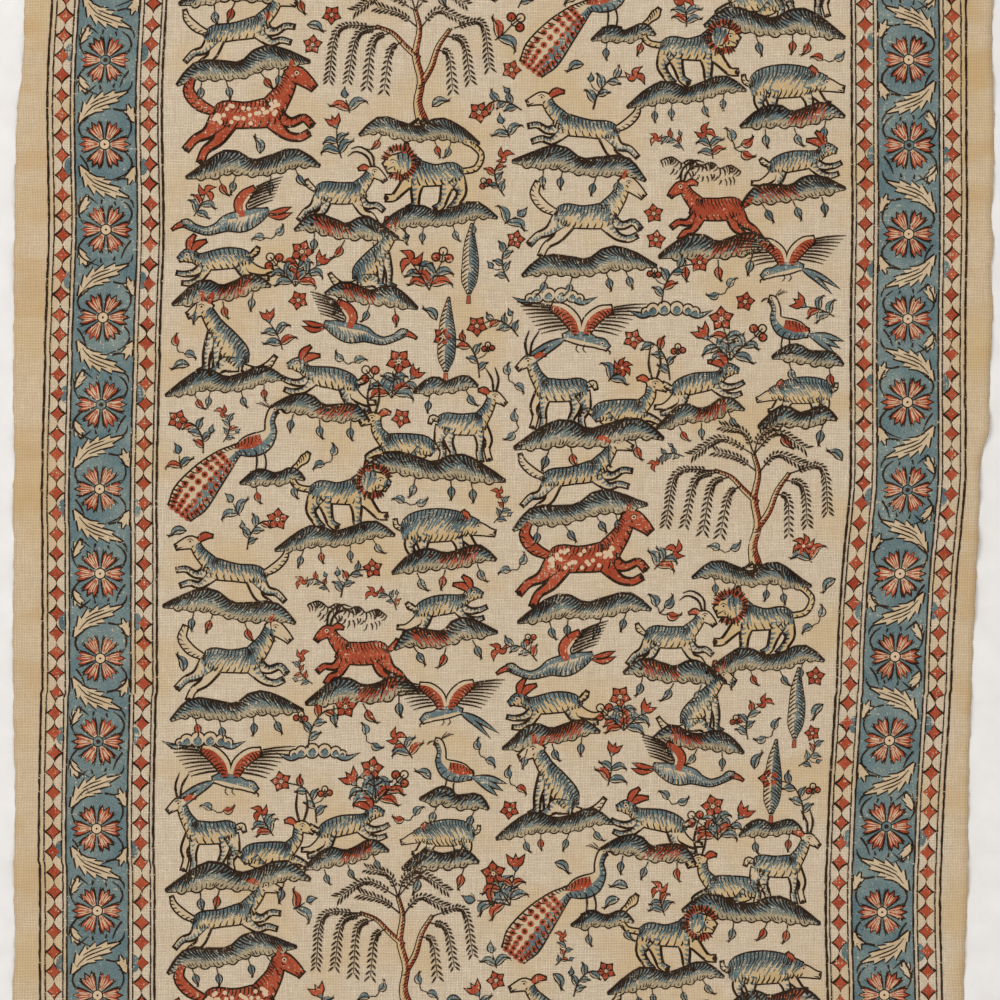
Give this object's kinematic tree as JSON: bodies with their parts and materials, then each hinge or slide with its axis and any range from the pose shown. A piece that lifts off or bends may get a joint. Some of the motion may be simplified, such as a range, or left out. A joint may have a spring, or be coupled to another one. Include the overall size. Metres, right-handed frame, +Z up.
{
  "type": "printed cotton tapestry panel",
  "caption": "Flat rectangular panel of coarse plain-weave cotton with block-printed borders and field, laid out face up, with raw wavy long sides and shallow ripples in its margins.",
  "frame": {"origin": "on the surface it lies on, under the middle of the cloth", "axes": "+X across the cloth, +Y along its length, +Z up out of the printed face"},
  "size_m": [0.5892, 0.9756, 0.0035],
  "materials": {
    "printed_cotton": "matte",
    "dark_print": "matte",
    "blue_print": "matte",
    "red_print": "matte"
  },
  "bodies": {
    "root": {"cloth": "printed_cotton"}
  },
  "joints": []
}
